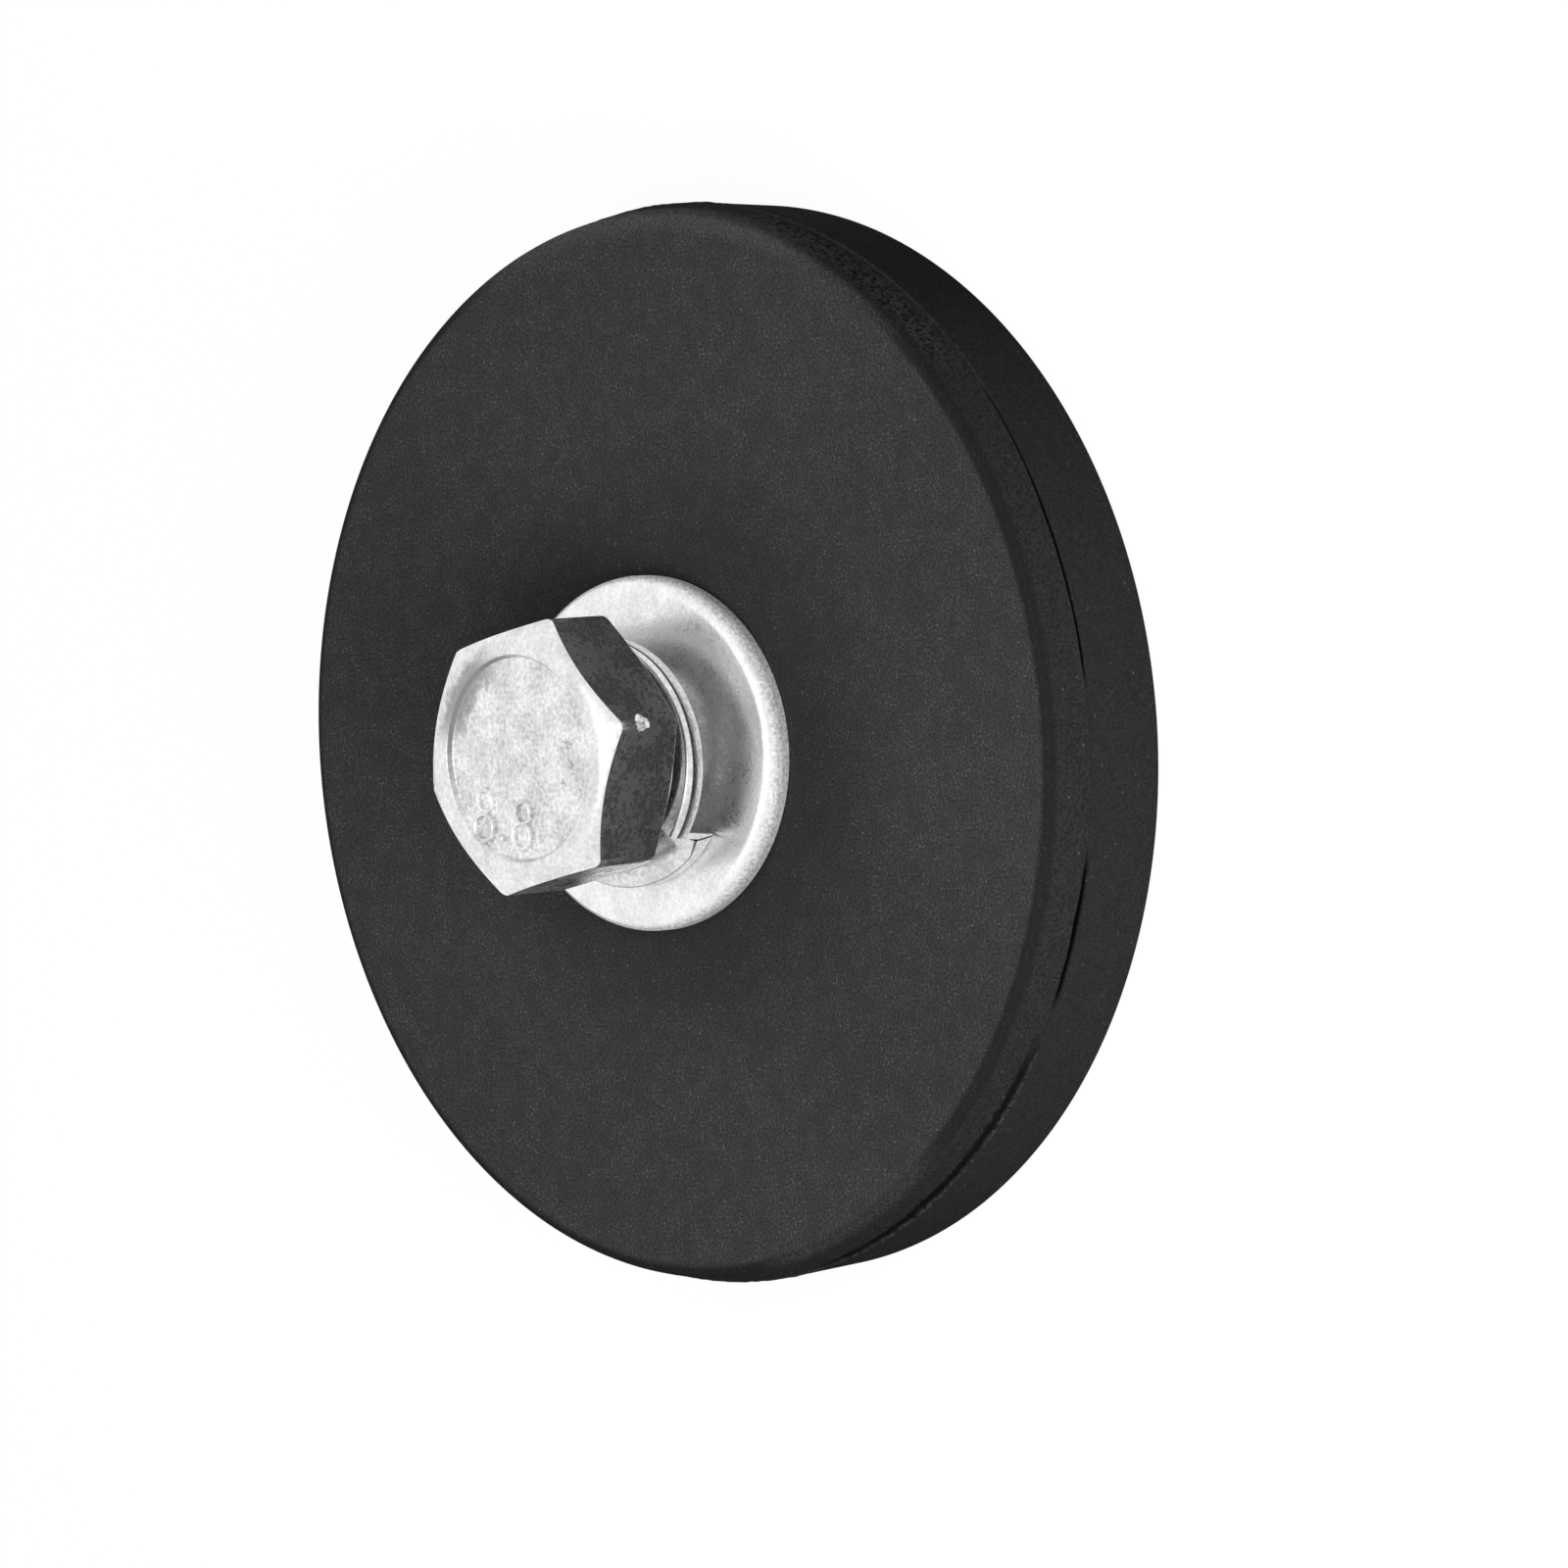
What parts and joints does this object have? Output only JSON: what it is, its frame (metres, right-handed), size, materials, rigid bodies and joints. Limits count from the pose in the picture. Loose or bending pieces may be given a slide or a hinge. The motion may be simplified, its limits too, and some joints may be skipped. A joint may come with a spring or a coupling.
{
  "type": "magnetic mount",
  "caption": "Round rubber-coated magnet disc with a threaded bush, hex bolt and washers at its centre, for clamping a bracket to a steel surface.",
  "frame": {"origin": "centre of the magnet face, which the part lies on", "axes": "+Z along the bolt, from the magnet face to the bolt's head"},
  "size_m": [0.0434, 0.0434, 0.0141],
  "materials": {
    "rubber": "matte black moulded rubber, fine grain",
    "zinc_plate": "bright zinc plating, satin",
    "plain_steel": "plain mild steel",
    "nickel_plate": "bright nickel plating"
  },
  "bodies": {
    "root": {"rubber_jacket": "rubber", "back_plate": "plain_steel", "threaded_bush": "plain_steel", "flat_washer": "zinc_plate", "spring_washer": "zinc_plate", "hex_bolt": "zinc_plate", "magnet_1": "nickel_plate", "magnet_2": "nickel_plate", "magnet_3": "nickel_plate", "magnet_4": "nickel_plate", "magnet_5": "nickel_plate", "magnet_6": "nickel_plate", "magnet_7": "nickel_plate", "magnet_8": "nickel_plate", "magnet_9": "nickel_plate", "magnet_10": "nickel_plate"}
  },
  "joints": []
}
